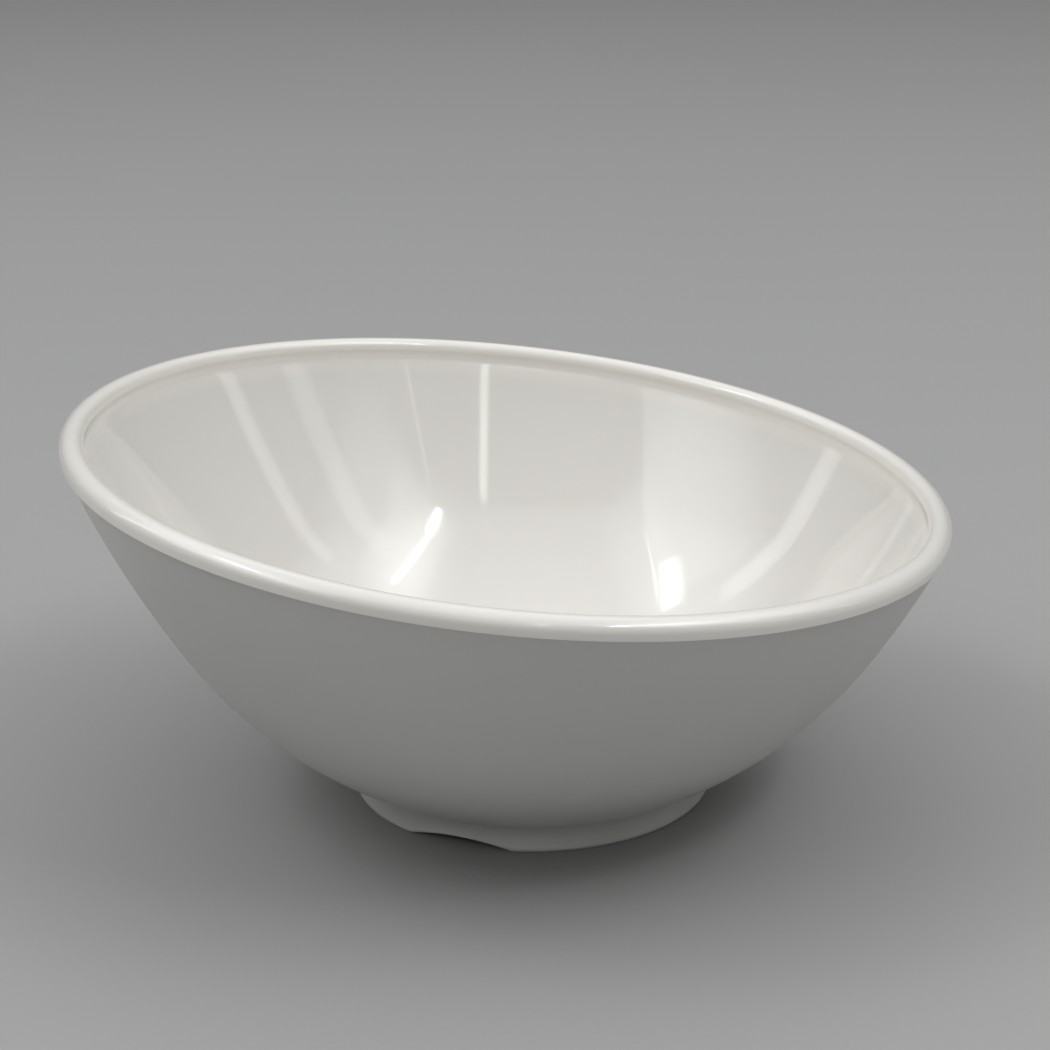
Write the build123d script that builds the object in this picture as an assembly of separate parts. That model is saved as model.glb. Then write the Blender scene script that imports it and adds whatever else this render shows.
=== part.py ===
from build123d import *
import os
from math import acos, cos, degrees, hypot, radians, sin

# A moulded rice bowl with a slanted, beaded rim and a foot ring.
# Millimetres. +Z is up and the origin is the centre of the foot ring on the
# surface that the bowl stands on. The rim plane leans about Y, with its high
# side at -X and its low side at +X.

# Foot ring: a low ring that stands on its flat lower edge.
FOOT_OUTER_RADIUS = 37.3
FOOT_INNER_RADIUS = 33.4
FOOT_EDGE_RADIUS = 0.5
FOOT_DRAFT = 0.8  # how far the inner face draws in over the foot's height
NECK_RADIUS = 35.2  # the ring's upright neck, above its flared outer face
NECK_HEIGHT = 3.2  # the height at which the flare begins
NECK_BEND_RADIUS = 1.5

# Drain notches: shallow arcs cut up into the foot's lower edge.
NOTCH_WIDTH = 22.5
NOTCH_HEIGHT = 1.5
NOTCH_ANGLES = (-111.4, 68.6)  # degrees from +X, on opposite sides

# Wall: two tangent arcs outside, with an even thickness inside them.
# A slope is the angle between the wall and the horizontal.
WALL_THICKNESS = 3.2  # with the glaze
GLAZE_THICKNESS = 0.3
BASE_HEIGHT = 5.2  # the flat underside that the foot ring is on
BASE_RADIUS = 36.6  # where the wall rises from the underside
BASE_SLOPE = 26.35
LOWER_WALL_RADIUS = 92.0
MIDDLE_SLOPE = 56.4  # where the lower arc runs into the upper one
UPPER_WALL_RADIUS = 213.0
TOP_SLOPE = 74.0  # above the highest point of the rim
FLOOR_HEIGHT = 8.4
FLOOR_CORNER_RADIUS = 40.0

# Rim: a bead that runs round the slanted edge. Its section is an ellipse above, and
# below that an upright outer face that ends in a ledge, where the mould parts.
RIM_SPAN = 179.5  # outside to outside, along the slope
RIM_TILT = 6.4
RIM_CENTRE_X = -4.45
RIM_CENTRE_HEIGHT = 68.2
BEAD_WIDTH = 5.0  # across the wall
BEAD_HEIGHT = 4.1  # along the wall
BEAD_LEAN = 24.5  # how far the bead's width dips below the rim plane, outwards
BEAD_BLEND_RADIUS = 3.0  # inside, where the bead runs into the wall
LEDGE_DEPTH = 1.6  # from the rim plane to the ledge
LEDGE_EDGE_RADIUS = 0.2
RIM_SKIRT_DEPTH = 5.5  # from the rim plane to the lower edge of the rim's inner half


def rim_plane(drop=0.0):
    """A plane parallel to the rim's, this far below it."""
    tilt = radians(RIM_TILT)
    normal = Vector(sin(tilt), 0, cos(tilt))
    centre = Vector(RIM_CENTRE_X, 0, RIM_CENTRE_HEIGHT) - normal * drop
    return Plane(origin=centre, x_dir=(cos(tilt), 0, -sin(tilt)), z_dir=normal)


def above(shape, drop):
    """What of a shape is above a plane this far below the rim's."""
    return split(shape, bisect_by=rim_plane(drop), keep=Keep.TOP)


def below(shape, drop):
    """What of a shape is below a plane this far below the rim's."""
    return split(shape, bisect_by=rim_plane(drop), keep=Keep.BOTTOM)


def on_arc(centre, radius, slope):
    """The point of a bowl-shaped arc where it has this slope."""
    angle = radians(slope)
    return centre + Vector(radius * sin(angle), -radius * cos(angle))


def arc_between(centre, radius, slope, end_slope):
    """The stretch of a bowl-shaped arc from one slope to a steeper one."""
    return CenterArc(centre, radius, slope - 90, end_slope - slope)


def arc_centres():
    """Centres of the wall's lower and upper arcs, which inner and outer surface share."""
    lower = Vector(BASE_RADIUS, BASE_HEIGHT) - on_arc(Vector(0, 0), LOWER_WALL_RADIUS, BASE_SLOPE)
    upper = on_arc(lower, LOWER_WALL_RADIUS - UPPER_WALL_RADIUS, MIDDLE_SLOPE)
    return lower, upper


LOWER_CENTRE, UPPER_CENTRE = arc_centres()


def turned(edges):
    """A full turn about Z of the region between a profile and the axis."""
    first = edges[0] @ 0
    last = edges[-1] @ 1
    closing = Polyline(last, (0, last.Y), (0, first.Y), first)
    return revolve(Plane.XZ * make_face([*edges, closing]), Axis.Z)


def filled_to_outside():
    """The bowl's outer shape, filled in."""
    return turned([
        arc_between(LOWER_CENTRE, LOWER_WALL_RADIUS, BASE_SLOPE, MIDDLE_SLOPE),
        arc_between(UPPER_CENTRE, UPPER_WALL_RADIUS, MIDDLE_SLOPE, TOP_SLOPE),
    ])


def filled_to_inside(thickness):
    """What fills the bowl to a surface this far inside the outer one."""
    depth = WALL_THICKNESS - thickness  # below the finished inner surface
    floor = FLOOR_HEIGHT - depth
    corner = FLOOR_CORNER_RADIUS + depth
    lower = LOWER_WALL_RADIUS - thickness
    corner_slope = degrees(acos((LOWER_CENTRE.Y - corner - floor) / (lower - corner)))
    corner_centre = on_arc(LOWER_CENTRE, lower - corner, corner_slope)
    return turned([
        arc_between(corner_centre, corner, 0, corner_slope),
        arc_between(LOWER_CENTRE, lower, corner_slope, MIDDLE_SLOPE),
        arc_between(UPPER_CENTRE, UPPER_WALL_RADIUS - thickness, MIDDLE_SLOPE, TOP_SLOPE),
    ])


def bead_ring():
    """The rim's bead, turned about the axis of the slanted rim."""
    lean = radians(BEAD_LEAN)
    reach = hypot(BEAD_WIDTH / 2 * cos(lean), BEAD_HEIGHT / 2 * sin(lean))
    outermost_height = (BEAD_HEIGHT**2 - BEAD_WIDTH**2) / 8 * sin(2 * lean) / reach
    ellipse = Ellipse(BEAD_WIDTH / 2, BEAD_HEIGHT / 2, rotation=-BEAD_LEAN)
    under_ledge = Pos(0, -LEDGE_DEPTH) * Rectangle(
        2 * BEAD_WIDTH, BEAD_HEIGHT, align=(Align.CENTER, Align.MAX)
    )
    outer_face = Pos(0, -LEDGE_DEPTH) * Rectangle(
        reach, LEDGE_DEPTH + outermost_height, align=(Align.MIN, Align.MIN)
    )
    ledge_corner = outer_face.vertices().sort_by(Axis.X)[-2:].sort_by(Axis.Y)[0]
    bead = ellipse - under_ledge + fillet(ledge_corner, LEDGE_EDGE_RADIUS)

    rim = rim_plane()
    section = Plane(origin=rim.origin, x_dir=rim.x_dir, z_dir=-rim.y_dir)
    placed = section * Pos(RIM_SPAN / 2 - reach, 0) * bead
    return revolve(placed, Axis(rim.origin, rim.z_dir))


def inner_crease(rim):
    """The edge inside the bowl where the bead meets the wall."""
    frame = rim_plane()
    rings = [
        edge for edge in rim.edges()
        if edge.length > RIM_SPAN and abs(frame.to_local_coords(edge.center()).Z) < BEAD_HEIGHT / 2
    ]
    return min(rings, key=lambda ring: ring.length)


def make_rim_bead(middle, inside):
    """The bead, and the skirt that it has for a root: the inner half of the wall."""
    skirt = below(above(middle - inside, RIM_SKIRT_DEPTH), 0)
    rim = skirt + bead_ring()
    return fillet(inner_crease(rim), BEAD_BLEND_RADIUS)


def make_bowl_body(outside, middle, under_glaze):
    """The floor and the wall, whose outer half reaches up behind the rim's skirt to the ledge."""
    outer_half = below(outside - middle, LEDGE_DEPTH)
    return below(outside - under_glaze, RIM_SKIRT_DEPTH) + above(outer_half, RIM_SKIRT_DEPTH)


def make_foot_ring():
    """The foot, with its drain notches."""
    neck = Vector(NECK_RADIUS, NECK_HEIGHT)
    ring = make_face(Polyline(
        (NECK_RADIUS, BASE_HEIGHT),
        (FOOT_INNER_RADIUS - FOOT_DRAFT, BASE_HEIGHT),
        (FOOT_INNER_RADIUS, 0),
        (FOOT_OUTER_RADIUS, 0),
        neck,
        close=True,
    ))
    ring = fillet(ring.vertices().group_by(Axis.Y)[0], FOOT_EDGE_RADIUS)
    ring = fillet(ring.vertices().sort_by_distance(neck)[0], NECK_BEND_RADIUS)
    foot = revolve(Plane.XZ * ring, Axis.Z)
    return foot - [drain_notch(angle) for angle in NOTCH_ANGLES]


def drain_notch(angle):
    """A lying cylinder whose top cuts the notch's arc."""
    half_width = NOTCH_WIDTH / 2
    radius = (half_width**2 + NOTCH_HEIGHT**2) / (2 * NOTCH_HEIGHT)
    length = FOOT_OUTER_RADIUS / 2
    cutter = Pos(FOOT_OUTER_RADIUS, 0, NOTCH_HEIGHT - radius) * Rot(0, 90, 0)
    return Rot(0, 0, angle) * cutter * Cylinder(radius, length)


def make_parts():
    """Every named piece of the bowl, in its place."""
    outside = filled_to_outside()
    middle = filled_to_inside(WALL_THICKNESS / 2)
    under_glaze = filled_to_inside(WALL_THICKNESS - GLAZE_THICKNESS)
    inside = filled_to_inside(WALL_THICKNESS)
    return {
        "bowl_body": make_bowl_body(outside, middle, under_glaze),
        "glaze_lining": below(under_glaze - inside, RIM_SKIRT_DEPTH),
        "rim_bead": make_rim_bead(middle, inside),
        "foot_ring": make_foot_ring(),
    }


os.makedirs("parts", exist_ok=True)
for name, shape in make_parts().items():
    export_step(shape, f"parts/{name}.step")
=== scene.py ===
from math import acos, asin, atan2, cos, hypot, pi, radians, sin, sqrt, tan

import bpy
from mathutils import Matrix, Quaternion, Vector


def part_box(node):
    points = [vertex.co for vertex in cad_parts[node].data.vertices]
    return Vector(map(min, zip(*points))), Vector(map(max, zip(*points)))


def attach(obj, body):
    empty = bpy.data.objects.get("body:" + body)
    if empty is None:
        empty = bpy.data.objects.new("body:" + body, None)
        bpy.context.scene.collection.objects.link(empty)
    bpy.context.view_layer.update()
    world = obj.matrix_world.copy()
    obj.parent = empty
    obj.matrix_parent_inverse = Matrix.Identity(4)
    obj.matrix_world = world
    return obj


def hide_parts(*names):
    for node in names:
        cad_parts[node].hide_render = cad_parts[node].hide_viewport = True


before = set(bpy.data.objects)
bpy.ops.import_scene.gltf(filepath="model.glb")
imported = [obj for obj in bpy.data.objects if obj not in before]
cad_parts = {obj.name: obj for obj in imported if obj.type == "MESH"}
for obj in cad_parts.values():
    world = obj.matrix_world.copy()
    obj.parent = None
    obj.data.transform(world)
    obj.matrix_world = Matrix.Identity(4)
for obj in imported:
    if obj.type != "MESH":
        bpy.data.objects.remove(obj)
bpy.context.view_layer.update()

# The looks of a moulded rice bowl with a slanted, beaded rim and a glazed inside.
# Metres. +Z is up, the bowl stands on z = 0 and its rim is highest at -X.
MM = 0.001

# The outline, the same as the CAD model's. A slope is a surface's angle from the horizontal.
FOOT_OUTER_RADIUS = 37.3 * MM
FOOT_INNER_RADIUS = 33.4 * MM
FOOT_EDGE_RADIUS = 0.5 * MM
FOOT_DRAFT = 0.8 * MM
NECK_RADIUS = 35.2 * MM
NECK_HEIGHT = 3.2 * MM
NECK_BEND_RADIUS = 1.5 * MM
NOTCH_WIDTH = 22.5 * MM
NOTCH_HEIGHT = 1.5 * MM
NOTCH_ANGLES = (radians(-111.4), radians(68.6))

WALL_THICKNESS = 3.2 * MM
GLAZE_THICKNESS = 0.3 * MM
BASE_HEIGHT = 5.2 * MM
BASE_RADIUS = 36.6 * MM
BASE_SLOPE = radians(26.35)
BASE_EDGE_RADIUS = 0.25 * MM  # a sharp edge in the CAD model
LOWER_WALL_RADIUS = 92.0 * MM
MIDDLE_SLOPE = radians(56.4)
UPPER_WALL_RADIUS = 213.0 * MM
TOP_SLOPE = radians(74.0)
FLOOR_HEIGHT = 8.4 * MM
FLOOR_CORNER_RADIUS = 40.0 * MM

RIM_TILT = radians(6.4)
RIM_CENTRE = Vector((-4.45 * MM, 0, 68.2 * MM))
BEAD_WIDTH = 5.0 * MM
BEAD_HEIGHT = 4.1 * MM
BEAD_LEAN = radians(24.5)
BEAD_BLEND_RADIUS = 3.0 * MM
LEDGE_DEPTH = 1.6 * MM
LEDGE_EDGE_RADIUS = 0.2 * MM
RIM_SKIRT_DEPTH = 5.5 * MM

# How many columns and steps the meshes are divided into.
COLUMNS = 288  # round the bowl
OUTER_WALL_STEPS = 64
INNER_WALL_STEPS = 44
FLOOR_FLAT_STEPS = 6
FLOOR_CORNER_STEPS = 14
BASE_STEPS = 6
BEAD_STEPS = 44
BLEND_STEPS = 8
SKIRT_STEPS = 4
EDGE_STEPS = 5  # round each small edge
NOTCH_STEPS = 24
BETWEEN_NOTCHES_STEPS = 96
FOOT_INNER_STEPS = 8
FLARE_STEPS = 6
NECK_BEND_STEPS = 6
SHARP_ANGLE = radians(30)  # edges sharper than this aren't shaded smooth


# ---- Surfaces of the wall ----

def on_arc(centre, radius, slope):
    """(r, z) of a bowl-shaped arc where it has this slope."""
    return centre[0] + radius * sin(slope), centre[1] - radius * cos(slope)


LOWER_CENTRE = (
    BASE_RADIUS - LOWER_WALL_RADIUS * sin(BASE_SLOPE),
    BASE_HEIGHT + LOWER_WALL_RADIUS * cos(BASE_SLOPE),
)
UPPER_CENTRE = on_arc(LOWER_CENTRE, LOWER_WALL_RADIUS - UPPER_WALL_RADIUS, MIDDLE_SLOPE)


def wall_arc(slope, inset):
    """Centre and radius of the wall's arc at this slope, on the surface this far inside the outer one."""
    if slope < MIDDLE_SLOPE:
        return LOWER_CENTRE, LOWER_WALL_RADIUS - inset
    return UPPER_CENTRE, UPPER_WALL_RADIUS - inset


def wall_section(slope, inset):
    """(r, z) of the wall's surface at this slope."""
    centre, radius = wall_arc(slope, inset)
    return on_arc(centre, radius, slope)


def wall_slope(height, inset):
    """Slope of the wall's surface where it is this high."""
    middle_height = on_arc(LOWER_CENTRE, LOWER_WALL_RADIUS - inset, MIDDLE_SLOPE)[1]
    slope = 0 if height < middle_height else MIDDLE_SLOPE
    centre, radius = wall_arc(slope, inset)
    return acos((centre[1] - height) / radius)


def beyond_wall(point, inset):
    """How far a point is outwards of the wall's surface at its own height."""
    return hypot(point.x, point.y) - wall_section(wall_slope(point.z, inset), inset)[0]


def turned(section, azimuth):
    """An (r, z) point turned to an azimuth about Z."""
    return Vector((section[0] * cos(azimuth), section[0] * sin(azimuth), section[1]))


def azimuth_of(point):
    """The azimuth of a point about Z."""
    return atan2(point.y, point.x)


def solve(distance, low, high):
    """Where a distance that is negative at low and positive at high is nought."""
    halvings = 40
    for _ in range(halvings):
        middle = (low + high) / 2
        if distance(middle) < 0:
            low = middle
        else:
            high = middle
    return (low + high) / 2


def steps(start, end, count):
    """Evenly spaced values from start to end, both included."""
    return [start + (end - start) * i / count for i in range(count + 1)]


def around(centre, start, end, share):
    """A point part of the way round a centre, from start towards end."""
    out = start - centre
    return centre + out.slerp(end - centre, share).normalized() * out.length


def round_arc(centre, start, end, count):
    """Points round a centre, from start to end."""
    return [around(centre, start, end, share) for share in steps(0, 1, count)]


def rounded_corner(corner, before, after, radius, count):
    """Points round a corner between two directions that lead away from it."""
    half = before.angle(after) / 2
    centre = corner + (before + after).normalized() * (radius / sin(half))
    start = corner + before * (radius / tan(half))
    end = corner + after * (radius / tan(half))
    return round_arc(centre, start, end, count)


def straight_run(start, end, count):
    """Evenly spaced points from start to end, both included."""
    return [start + (end - start) * share for share in steps(0, 1, count)]


# ---- The slanted rim ----

RIM_UP = Vector((sin(RIM_TILT), 0, cos(RIM_TILT)))
RIM_ALONG = Vector((cos(RIM_TILT), 0, -sin(RIM_TILT)))
RIM_ACROSS = Vector((0, 1, 0))

# The bead is an ellipse. An angle on it runs from its outer end, over its top, to its inner side.
BEAD_REACH = hypot(BEAD_WIDTH / 2 * cos(BEAD_LEAN), BEAD_HEIGHT / 2 * sin(BEAD_LEAN))
BEAD_OUTERMOST_ANGLE = atan2(BEAD_HEIGHT * sin(BEAD_LEAN), BEAD_WIDTH * cos(BEAD_LEAN))
BEAD_INNER_END_ANGLE = pi
BEAD_UNDERSIDE_ANGLE = 1.45 * pi


def bead_ring_radius():
    """Radius of the bead's centre line, from the CAD rim's width."""
    low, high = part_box("rim_bead")
    return (high.y - low.y) / 2 - BEAD_REACH


BEAD_RING_RADIUS = bead_ring_radius()


def rim_point(turn, out, up):
    """A point of the rim's section at this turn about its axis, from the middle of the bead."""
    direction = RIM_ALONG * cos(turn) + RIM_ACROSS * sin(turn)
    return RIM_CENTRE + direction * (BEAD_RING_RADIUS + out) + RIM_UP * up


def bead_point(turn, angle, clearance=0.0):
    """A point of the bead's ellipse, or this far off it."""
    wide = Vector((cos(BEAD_LEAN), -sin(BEAD_LEAN)))
    high = Vector((sin(BEAD_LEAN), cos(BEAD_LEAN)))
    half_width = BEAD_WIDTH / 2
    half_height = BEAD_HEIGHT / 2
    normal = wide * (cos(angle) / half_width) + high * (sin(angle) / half_height)
    point = wide * (half_width * cos(angle)) + high * (half_height * sin(angle))
    return rim_point(turn, *(point + normal.normalized() * clearance))


def slope_at_depth(azimuth, inset, depth):
    """Slope of the wall's surface where it is this far below the rim plane."""
    def height(slope):
        """How far the surface is above that depth."""
        point = turned(wall_section(slope, inset), azimuth)
        return (point - RIM_CENTRE).dot(RIM_UP) + depth
    return solve(height, MIDDLE_SLOPE, TOP_SLOPE)


class Column:
    """One column of the bowl's mesh: the outline of the rim and the wall at one turn."""

    def __init__(self, turn):
        """Find where the wall meets the ledge outside and the bead's rolling ball inside."""
        self.turn = turn
        across = solve(lambda out: beyond_wall(rim_point(turn, out, -LEDGE_DEPTH), 0), 0, BEAD_REACH)
        crease = rim_point(turn, across, -LEDGE_DEPTH)
        self.outer_azimuth = azimuth_of(crease)
        self.crease_slope = wall_slope(crease.z, 0)

        def ball_gap(angle):
            """How far a ball that touches the bead here is past the inner wall."""
            ball = bead_point(turn, angle, BEAD_BLEND_RADIUS)
            return beyond_wall(ball, WALL_THICKNESS + BEAD_BLEND_RADIUS)

        self.inner_angle = solve(ball_gap, BEAD_INNER_END_ANGLE, BEAD_UNDERSIDE_ANGLE)
        self.ball = bead_point(turn, self.inner_angle, BEAD_BLEND_RADIUS)
        self.inner_azimuth = azimuth_of(self.ball)
        self.blend_slope = wall_slope(self.ball.z, WALL_THICKNESS + BEAD_BLEND_RADIUS)

    def outer_wall(self, start, end, count, inset=0.0):
        """Points up an outer surface between two slopes."""
        return [turned(wall_section(s, inset), self.outer_azimuth) for s in steps(start, end, count)]

    def inner_wall(self, start, end, count, inset=WALL_THICKNESS):
        """Points up an inner surface between two slopes."""
        return [turned(wall_section(s, inset), self.inner_azimuth) for s in steps(start, end, count)]

    def inner_seam(self, inset):
        """Slope where the skirt's lower edge crosses an inner surface."""
        return slope_at_depth(self.inner_azimuth, inset, RIM_SKIRT_DEPTH)

    def lap(self):
        """Points up the middle of the wall, where the rim's skirt laps the body, from the skirt's edge."""
        middle = WALL_THICKNESS / 2
        low, high = [
            slope_at_depth(self.outer_azimuth, middle, depth)
            for depth in (RIM_SKIRT_DEPTH, LEDGE_DEPTH)
        ]
        return self.outer_wall(low, high, SKIRT_STEPS, middle)

    def ledge_edge(self):
        """Points round the ledge's outer corner, from under it."""
        corner = Vector((BEAD_REACH, -LEDGE_DEPTH))
        inwards = Vector((-1, 0))
        upwards = Vector((0, 1))
        rounding = rounded_corner(corner, inwards, upwards, LEDGE_EDGE_RADIUS, EDGE_STEPS)
        return [rim_point(self.turn, *point) for point in rounding]

    def bead(self):
        """Points over the bead, from its outermost point to its inner blend."""
        angles = steps(BEAD_OUTERMOST_ANGLE, self.inner_angle, BEAD_STEPS)
        return [bead_point(self.turn, angle) for angle in angles]

    def blend(self):
        """Points round a rolling ball that touches both the bead and the inner wall."""
        touch = turned(wall_section(self.blend_slope, WALL_THICKNESS), self.inner_azimuth)
        return round_arc(self.ball, bead_point(self.turn, self.inner_angle), touch, BLEND_STEPS)


COLUMN_LIST = [Column(2 * pi * i / COLUMNS) for i in range(COLUMNS)]


# ---- Meshes ----

def piece_from(name, vertices, faces, material):
    """A smooth-shaded mesh object whose sharp edges stay sharp."""
    mesh = bpy.data.meshes.new(name)
    mesh.from_pydata([tuple(v) for v in vertices], [], faces)
    mesh.update()
    mesh.polygons.foreach_set("use_smooth", [True] * len(mesh.polygons))
    mesh.set_sharp_from_angle(angle=SHARP_ANGLE)
    mesh.materials.append(material)
    piece = bpy.data.objects.new(name, mesh)
    bpy.context.scene.collection.objects.link(piece)
    return piece


def ring_faces(rows, columns, closed):
    """Quads between rows of points that run round the bowl; a closed section joins its ends."""
    pairs = [(row, row + 1) for row in range(rows - 1)]
    if closed:
        pairs.append((rows - 1, 0))
    faces = []
    for row, next_row in pairs:
        low = row * columns
        high = next_row * columns
        for i in range(columns):
            j = (i + 1) % columns
            faces.append((low + i, low + j, high + j, high + i))
    return faces


def ring_piece(name, sections, material):
    """A closed ring from one closed section for each column."""
    rows = len(sections[0])
    vertices = [section[row] for row in range(rows) for section in sections]
    return piece_from(name, vertices, ring_faces(rows, len(sections), True), material)


def dish_piece(name, sections, material):
    """A closed dish from one open section for each column, whose two ends are closed on the axis."""
    rows = len(sections[0])
    columns = len(sections)
    vertices = [section[row] for row in range(rows) for section in sections]
    faces = ring_faces(rows, columns, False)
    for row, flip in ((0, True), (rows - 1, False)):
        pole = len(vertices)
        vertices.append(Vector((0, 0, vertices[row * columns].z)))
        for i in range(columns):
            edge = (row * columns + i, row * columns + (i + 1) % columns)
            faces.append((edge[1], edge[0], pole) if flip else (edge[0], edge[1], pole))
    return piece_from(name, vertices, faces, material)


def floor_section(inset, azimuth):
    """Points along the inside of the floor as far as the wall's arc, and the slope that they end with."""
    depth = WALL_THICKNESS - inset
    floor = FLOOR_HEIGHT - depth
    corner = FLOOR_CORNER_RADIUS + depth
    lower = LOWER_WALL_RADIUS - inset
    slope = acos((LOWER_CENTRE[1] - corner - floor) / (lower - corner))
    centre = on_arc(LOWER_CENTRE, lower - corner, slope)
    flat = [(centre[0] * share, floor) for share in steps(0, 1, FLOOR_FLAT_STEPS)[1:]]
    curve = [on_arc(centre, corner, s) for s in steps(0, slope, FLOOR_CORNER_STEPS)]
    return [turned(p, azimuth) for p in flat[:-1] + curve], slope


def inner_surface(column, inset):
    """Points up an inner surface, from near the axis to the edge of the rim's skirt."""
    floor, slope = floor_section(inset, column.inner_azimuth)
    return floor + column.inner_wall(slope, column.inner_seam(inset), INNER_WALL_STEPS, inset)[1:]


def base_edge(azimuth):
    """Points out under the base and round its edge, as far as the wall."""
    corner = Vector((BASE_RADIUS, BASE_HEIGHT))
    inwards = Vector((-1, 0))
    up_wall = Vector((cos(BASE_SLOPE), sin(BASE_SLOPE)))
    rounding = rounded_corner(corner, inwards, up_wall, BASE_EDGE_RADIUS, EDGE_STEPS)
    under = straight_run(Vector((0, BASE_HEIGHT)), rounding[0], BASE_STEPS)[1:-1]
    return [turned(point, azimuth) for point in under + rounding]


def body_section(column):
    """Under the base, up the outer wall, down behind the rim's skirt and beneath the glaze."""
    base = base_edge(column.outer_azimuth)
    start = wall_slope(base[-1].z, 0)
    outer = column.outer_wall(start, column.crease_slope, OUTER_WALL_STEPS)[1:]
    inner = inner_surface(column, WALL_THICKNESS - GLAZE_THICKNESS)
    return base + outer + column.lap()[::-1] + inner[::-1]


def lining_section(column):
    """Up the underside of the glaze and back down its bright face."""
    under = inner_surface(column, WALL_THICKNESS - GLAZE_THICKNESS)
    face = inner_surface(column, WALL_THICKNESS)
    return under + face[::-1]


def rim_section(column):
    """Up the outside of the skirt, round the ledge and the bead, and down the inner wall."""
    seam = column.inner_seam(WALL_THICKNESS)
    inner = column.inner_wall(column.blend_slope, seam, SKIRT_STEPS)[1:]
    return column.lap() + column.ledge_edge() + column.bead() + column.blend()[1:] + inner


# ---- Foot ring ----

def foot_outline():
    """Closed (r, z) outline of the foot ring: down its inside, out along its edge and up to the base."""
    inner_foot = Vector((FOOT_INNER_RADIUS, 0))
    outer_foot = Vector((FOOT_OUTER_RADIUS, 0))
    inner_top = Vector((FOOT_INNER_RADIUS - FOOT_DRAFT, BASE_HEIGHT))
    neck = Vector((NECK_RADIUS, NECK_HEIGHT))
    neck_top = Vector((NECK_RADIUS, BASE_HEIGHT))
    outwards = Vector((1, 0))
    upwards = Vector((0, 1))
    up_inside = (inner_top - inner_foot).normalized()
    up_flare = (neck - outer_foot).normalized()

    edge_in = rounded_corner(inner_foot, up_inside, outwards, FOOT_EDGE_RADIUS, EDGE_STEPS)
    edge_out = rounded_corner(outer_foot, -outwards, up_flare, FOOT_EDGE_RADIUS, EDGE_STEPS)
    bend = rounded_corner(neck, -up_flare, upwards, NECK_BEND_RADIUS, NECK_BEND_STEPS)
    inner = straight_run(inner_top, edge_in[0], FOOT_INNER_STEPS)
    flare = straight_run(edge_out[-1], bend[0], FLARE_STEPS)
    return inner[:-1] + edge_in + edge_out + flare[1:-1] + bend + [neck_top]


def foot_columns():
    """(notch, offset, share) for each column round the foot. In a notch the offset is the column's place
    sideways from its middle, and between notches the share is how far on it is towards the next one."""
    half = NOTCH_WIDTH / 2
    columns = []
    for number in range(len(NOTCH_ANGLES)):
        columns += [(number, x, None) for x in steps(-half, half, NOTCH_STEPS)]
        columns += [(number, None, share) for share in steps(0, 1, BETWEEN_NOTCHES_STEPS)[1:-1]]
    return columns


def foot_section(outline, column):
    """The foot's outline at one column. At a notch its edge is lifted, along both of its faces."""
    number, offset, share = column
    half = NOTCH_WIDTH / 2
    notch_radius = (half**2 + NOTCH_HEIGHT**2) / (2 * NOTCH_HEIGHT)
    angle = NOTCH_ANGLES[number]
    gap = 2 * pi / len(NOTCH_ANGLES)
    flare_rate = (FOOT_OUTER_RADIUS - NECK_RADIUS) / NECK_HEIGHT
    draft_rate = FOOT_DRAFT / BASE_HEIGHT
    middle_radius = (FOOT_INNER_RADIUS + NECK_RADIUS) / 2
    points = []
    for r, z in outline:
        if share is None:
            azimuth = angle + asin(offset / r)
            height = sqrt(notch_radius**2 - offset**2) - (notch_radius - NOTCH_HEIGHT)
            lift = max(0, height) * max(0, 1 - z / NECK_HEIGHT)
            r -= lift * (flare_rate if r > middle_radius else draft_rate)
            z += lift
        else:
            edge = asin(half / r)
            azimuth = angle + edge + (gap - 2 * edge) * share
        points.append(turned((r, z), azimuth))
    return points


# ---- Materials ----

def maths_node(tree, operation, first, second):
    """The result of an operation on two values, each of them a float or a socket."""
    node = tree.nodes.new("ShaderNodeMath")
    node.operation = operation
    for socket, value in zip(node.inputs, (first, second)):
        if isinstance(value, float):
            socket.default_value = value
        else:
            tree.links.new(value, socket)
    return node.outputs["Value"]


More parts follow.
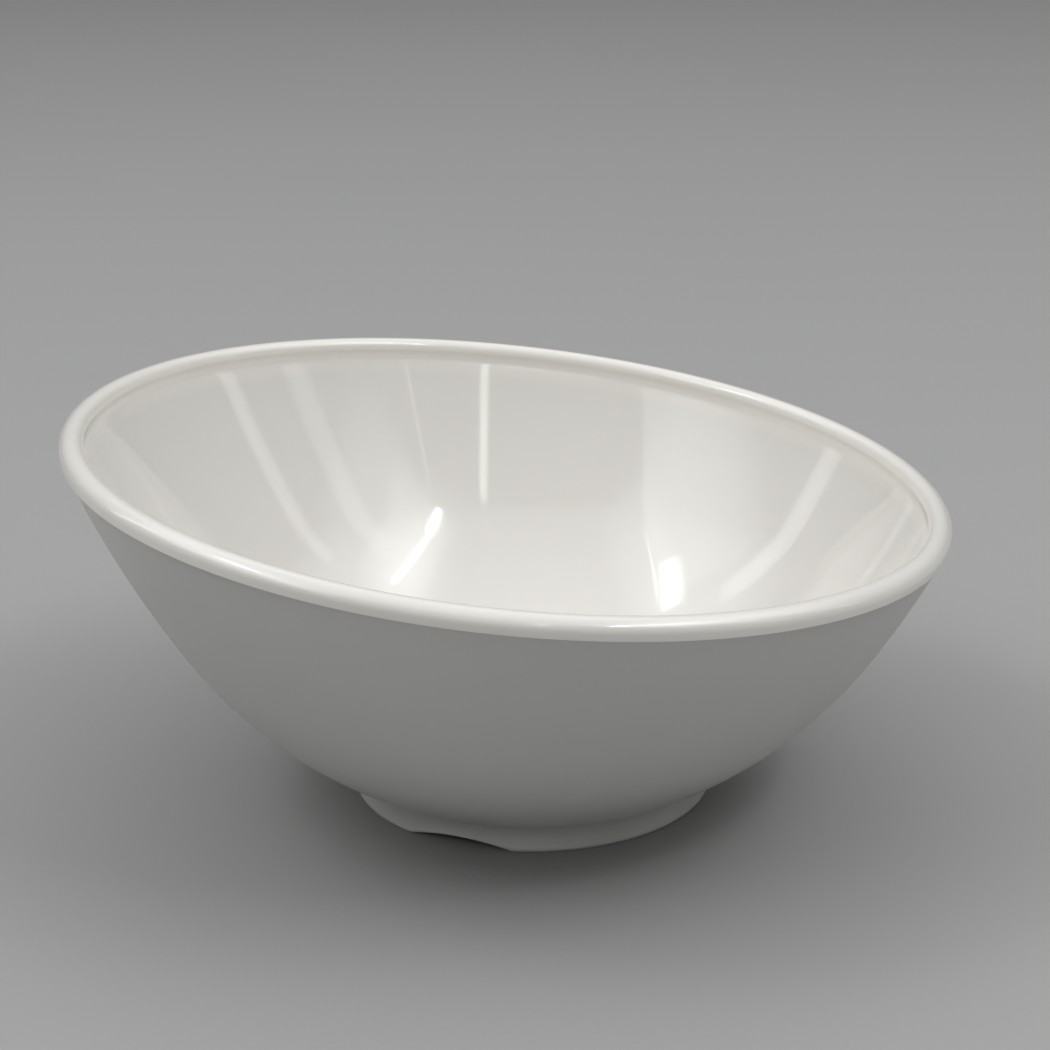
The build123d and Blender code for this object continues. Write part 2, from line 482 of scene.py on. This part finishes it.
class Nodes:
    """Shorthand for building a material's nodes."""

    def __init__(self, name):
        """Start a material with its shader."""
        self.material = bpy.data.materials.new(name)
        self.material.use_nodes = True
        self.tree = self.material.node_tree
        self.shader = self.tree.nodes["Principled BSDF"]

    def add(self, kind, **settings):
        """A new node with these settings."""
        node = self.tree.nodes.new(kind)
        for key, value in settings.items():
            setattr(node, key, value)
        return node

    def link(self, output, socket):
        """Feed a socket from an output."""
        self.tree.links.new(output, socket)

    def position(self):
        """The point in the bowl's own frame."""
        return self.add("ShaderNodeTexCoord").outputs["Object"]

    def noise(self, scale, detail):
        """Values from 0 to 1 that vary over about 1/scale metres."""
        node = self.add("ShaderNodeTexNoise")
        node.inputs["Scale"].default_value = scale
        node.inputs["Detail"].default_value = detail
        self.link(self.position(), node.inputs["Vector"])
        return node.outputs["Fac"]

    def between(self, value, low, high, to_low, to_high):
        """A value's range mapped to another, and held at its ends."""
        node = self.add("ShaderNodeMapRange")
        node.inputs["From Min"].default_value = low
        node.inputs["From Max"].default_value = high
        node.inputs["To Min"].default_value = to_low
        node.inputs["To Max"].default_value = to_high
        self.link(value, node.inputs["Value"])
        return node.outputs["Result"]

    def blend_colours(self, share, first, second):
        """One colour turning into another as share goes from 0 to 1."""
        node = self.add("ShaderNodeMix", data_type="RGBA")
        self.link(share, node.inputs["Factor"])
        for socket, colour in ((node.inputs["A"], first), (node.inputs["B"], second)):
            if isinstance(colour, tuple):
                socket.default_value = (*colour, 1)
            else:
                self.link(colour, socket)
        return node.outputs["Result"]

    def bump(self, height, distance, before=None):
        """A normal with this relief, laid over an earlier one."""
        node = self.add("ShaderNodeBump")
        node.inputs["Strength"].default_value = 1.0
        node.inputs["Distance"].default_value = distance
        self.link(height, node.inputs["Height"])
        if before is not None:
            self.link(before, node.inputs["Normal"])
        return node.outputs["Normal"]


def melamine(name, light, dark, roughness, coat, coat_roughness, peel_depth):
    """White moulded resin: faintly clouded, with the slight waviness that a mould leaves and a finer peel."""
    cloud_scale = 22
    smear_scale = 70
    wave_scale = 45
    wave_depth = 0.02 * MM
    peel_scale = 420
    nodes = Nodes(name)
    shader = nodes.shader
    clouds = nodes.between(nodes.noise(cloud_scale, 4), 0.3, 0.7, 0, 1)
    nodes.link(nodes.blend_colours(clouds, light, dark), shader.inputs["Base Color"])
    smears = nodes.between(nodes.noise(smear_scale, 5), 0.3, 0.7, *roughness)
    nodes.link(smears, shader.inputs["Roughness"])
    relief = nodes.bump(nodes.noise(wave_scale, 1), wave_depth)
    if peel_depth:
        relief = nodes.bump(nodes.noise(peel_scale, 2), peel_depth, relief)
    nodes.link(relief, shader.inputs["Normal"])
    nodes.link(relief, shader.inputs["Coat Normal"])
    shader.inputs["IOR"].default_value = 1.5
    shader.inputs["Coat Weight"].default_value = coat
    shader.inputs["Coat Roughness"].default_value = coat_roughness
    shader.inputs["Subsurface Weight"].default_value = 0.1
    shader.inputs["Subsurface Radius"].default_value = (1.0, 0.85, 0.65)
    shader.inputs["Subsurface Scale"].default_value = 1.5 * MM
    return nodes


def paint_rim_light(nodes, colour):
    """Painted light: the rim's colour turns whiter towards its top, standing in for the light that falls on
    the bead.
    """
    height = nodes.add("ShaderNodeVectorMath", operation="DOT_PRODUCT")
    height.inputs[1].default_value = RIM_UP
    nodes.link(nodes.position(), height.inputs[0])
    rim_height = RIM_CENTRE.dot(RIM_UP)
    light_start_height = rim_height - RIM_SKIRT_DEPTH
    light_full_height = rim_height - LEDGE_DEPTH
    painted_light_share = nodes.between(height.outputs["Value"], light_start_height, light_full_height, 0, 1)
    base_colour = nodes.shader.inputs["Base Color"]
    unlit_colour = base_colour.links[0].from_socket
    nodes.link(nodes.blend_colours(painted_light_share, unlit_colour, colour), base_colour)


def wear_foot(nodes, colour, roughness):
    """A greyer, rougher edge, in patches, where the foot rubs on what it stands on."""
    wear_height = 1.1 * MM
    patch_scale = 260
    place = nodes.add("ShaderNodeSeparateXYZ")
    nodes.link(nodes.position(), place.inputs["Vector"])
    low = nodes.between(place.outputs["Z"], 0, wear_height, 1, 0)
    patches = nodes.between(nodes.noise(patch_scale, 5), 0.35, 0.6, 0.15, 1)
    wear = maths_node(nodes.tree, "MULTIPLY", low, patches)
    for name, worn in (("Base Color", colour), ("Roughness", (roughness,) * 3)):
        socket = nodes.shader.inputs[name]
        nodes.link(nodes.blend_colours(wear, socket.links[0].from_socket, worn), socket)


def floor_material():
    """Pale matt studio paper."""
    shade_scale = 3
    grain_scale = 600
    grain_depth = 0.05 * MM
    nodes = Nodes("studio_paper")
    shader = nodes.shader
    shade = nodes.blend_colours(nodes.noise(shade_scale, 2), (0.40, 0.40, 0.40), (0.38, 0.38, 0.38))
    nodes.link(shade, shader.inputs["Base Color"])
    nodes.link(nodes.bump(nodes.noise(grain_scale, 3), grain_depth), shader.inputs["Normal"])
    shader.inputs["Roughness"].default_value = 0.6
    return nodes.material


# Colours come as a lighter and a darker cloud, and roughness as its smoothest and its roughest.
GLAZED_WHITE = ((0.82, 0.80, 0.755), (0.80, 0.78, 0.735))
# Partly the unglazed satin face's own slightly greyer tone, and darkened much further as painted shade for
# the outer wall, which faces down away from the light.
SHADED_MOULDED_WHITE = ((0.66, 0.657, 0.63), (0.64, 0.636, 0.61))
FOOT_WHITE = ((0.82, 0.815, 0.78), (0.79, 0.785, 0.75))
# Painted light: the whiter colour the rim's top is painted with, for the light that falls on it.
BEAD_PAINTED_LIGHT = (0.865, 0.847, 0.803)
WORN_WHITE = (0.70, 0.69, 0.66)
GLOSS = (0.05, 0.09)
SATIN = (0.30, 0.36)
WORN_ROUGHNESS = 0.48

glaze = melamine("glaze", *GLAZED_WHITE, GLOSS, coat=0.4, coat_roughness=0.03, peel_depth=0.002 * MM)
# The rim's top gets painted light here.
paint_rim_light(glaze, BEAD_PAINTED_LIGHT)
# The outer wall's material carries painted shade in its colour.
shell = melamine("moulded_white_painted_shade", *SHADED_MOULDED_WHITE, SATIN, coat=0.15, coat_roughness=0.15, peel_depth=0)
foot_white = melamine("foot_white", *FOOT_WHITE, SATIN, coat=0.15, coat_roughness=0.15, peel_depth=0)
wear_foot(foot_white, WORN_WHITE, WORN_ROUGHNESS)


# ---- The bowl ----

rim = ring_piece("rim_bead_polished", [rim_section(c) for c in COLUMN_LIST], glaze.material)
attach(rim, "root")
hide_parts("rim_bead")

body = dish_piece("bowl_body_moulding", [body_section(c) for c in COLUMN_LIST], shell.material)
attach(body, "root")
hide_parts("bowl_body")

lining = dish_piece("glaze_lining_coat", [lining_section(c) for c in COLUMN_LIST], glaze.material)
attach(lining, "root")
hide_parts("glaze_lining")

outline = foot_outline()
foot_sections = [foot_section(outline, c) for c in foot_columns()]
foot = ring_piece("foot_ring_notched", foot_sections, foot_white.material)
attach(foot, "root")
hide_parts("foot_ring")


# ---- Floor, camera and lights ----

def add_studio():
    """A wide pale floor that curves up into a wall all round."""
    floor_radius = 1.8
    cove_radius = 1.0
    wall_height = 2.6
    cove_steps = 12
    columns = 96
    cove_centre = (floor_radius, cove_radius)
    cove = [on_arc(cove_centre, cove_radius, slope) for slope in steps(0, pi / 2, cove_steps)]
    outline = cove + [(floor_radius + cove_radius, wall_height)]
    vertices = [turned(p, 2 * pi * i / columns) for p in outline for i in range(columns)]
    faces = ring_faces(len(outline), columns, False) + [tuple(range(columns))]
    piece_from("studio_floor", vertices, faces, floor_material())


def direction_towards(azimuth, elevation):
    """The direction of this azimuth from the front, towards +X, and this elevation."""
    return Vector((sin(azimuth) * cos(elevation), -cos(azimuth) * cos(elevation), sin(elevation)))


def add_camera():
    """A camera at the viewing angle of a person at the table."""
    target = Vector((-0.0012, 0, 0.0558))
    azimuth = radians(3.22)
    elevation = radians(18.63)
    distance = 0.5299
    roll = radians(-0.5)
    toward = direction_towards(azimuth, elevation)
    data = bpy.data.cameras.new("camera")
    data.sensor_width = 36
    data.lens = 89.14
    camera = bpy.data.objects.new("camera", data)
    camera.location = target + toward * distance
    camera.rotation_mode = "QUATERNION"
    level = (-toward).to_track_quat("-Z", "Y")
    camera.rotation_quaternion = level @ Quaternion((0, 0, 1), roll)
    bpy.context.scene.collection.objects.link(camera)
    bpy.context.scene.camera = camera


def feather(light, softness, ramp):
    """Fade a light's panel towards all its edges, and by the ramp towards its lower edge alone."""
    light.use_nodes = True
    tree = light.node_tree
    place = tree.nodes.new("ShaderNodeSeparateXYZ")
    geometry = tree.nodes.new("ShaderNodeNewGeometry")
    tree.links.new(geometry.outputs["Parametric"], place.inputs["Vector"])
    shares = []
    for axis in ("X", "Y"):
        along = place.outputs[axis]
        back = maths_node(tree, "SUBTRACT", 1.0, along)
        hill = maths_node(tree, "MULTIPLY", along, back)
        shares.append(maths_node(tree, "MULTIPLY", hill, 4.0))  # 1 midway between the edges
    middle = maths_node(tree, "MULTIPLY", *shares)
    faded = maths_node(tree, "POWER", middle, softness)
    ramped = maths_node(tree, "POWER", place.outputs["Y"], ramp)
    strength = maths_node(tree, "MULTIPLY", faded, ramped)
    tree.links.new(strength, tree.nodes["Emission"].inputs["Strength"])


def add_softbox(
    name, azimuth, elevation, distance, width, height, radiance,
    softness=0.8, spin=0.0, ramp=0.0, colour=(1, 1, 1),
):
    """A rectangular studio light that faces the bowl. Its angles are in degrees."""
    away = direction_towards(radians(azimuth), radians(elevation))
    bowl_middle = Vector((0, 0, 0.05))
    data = bpy.data.lights.new(name, "AREA")
    data.shape = "RECTANGLE"
    data.size = width
    data.size_y = height
    data.energy = radiance * pi * width * height
    data.color = colour
    feather(data, softness, ramp)
    light = bpy.data.objects.new(name, data)
    light.location = bowl_middle + away * distance
    light.rotation_mode = "QUATERNION"
    facing = (-away).to_track_quat("-Z", "Y")
    light.rotation_quaternion = facing @ Quaternion((0, 0, 1), radians(spin))
    bpy.context.scene.collection.objects.link(light)


def add_ambient(strength):
    """Soft light from all round."""
    world = bpy.data.worlds.new("studio")
    world.use_nodes = True
    background = world.node_tree.nodes["Background"]
    background.inputs["Color"].default_value = (0.93, 0.96, 1.0, 1)
    background.inputs["Strength"].default_value = strength
    bpy.context.scene.world = world


add_studio()
add_camera()
add_ambient(0.11)

# Each panel's azimuth, elevation, distance, width, height and radiance. The large ones light the bowl
# evenly, and the small ones are there for their reflections in the glaze.
add_softbox("ceiling", 0, 90, 2.0, 3.1, 3.1, 0.86, softness=0.2)
add_softbox("key", -86, 55, 1.6, 0.42, 0.18, 9.0, softness=0.2, spin=-13, ramp=0.7)
add_softbox("key_glow", -84, 50, 1.6, 2.0, 1.1, 1.7)
add_softbox("left_wall", -66, 37, 1.5, 1.27, 0.9, 1.6, softness=0.12, spin=-31, ramp=1.2)
add_softbox("left_cornice", -72, 57.5, 1.6, 0.7, 0.015, 5.0, softness=0.3, spin=-20)
add_softbox("left_window", -106, 32, 1.3, 0.16, 0.6, 1.8, softness=0.3)
add_softbox("lamp", 49.5, 51.5, 1.4, 0.2, 0.05, 30.0, softness=0.3, spin=36)
add_softbox("lamp_tail", 72, 56, 1.5, 0.55, 0.05, 7.0, softness=0.4, spin=5)
add_softbox("lamp_glow", 72, 54, 1.5, 1.0, 0.5, 2.4, spin=15)
add_softbox("right_glow", 90, 52, 1.6, 1.9, 1.0, 1.7)
add_softbox("right_blind", 78, 34, 1.3, 0.16, 0.8, 1.0, softness=0.3)
add_softbox("right_window", 100, 26, 1.3, 0.12, 0.7, 1.4, softness=0.3)
add_softbox("right_line", 43.5, 38, 1.3, 0.012, 0.36, 2.5, softness=0.3, spin=-8)
add_softbox("back_window", 180, 50, 1.6, 2.0, 0.8, 0.8)
add_softbox(
    "front_strip", 20, 42.5, 1.2, 0.045, 0.37, 4.4,
    softness=0.15, spin=-19, colour=(0.93, 1.0, 0.92),
)
add_softbox("front_glow", 0, 33, 1.5, 1.6, 0.25, 1.5)
bpy.context.scene.view_settings.view_transform = "Standard"
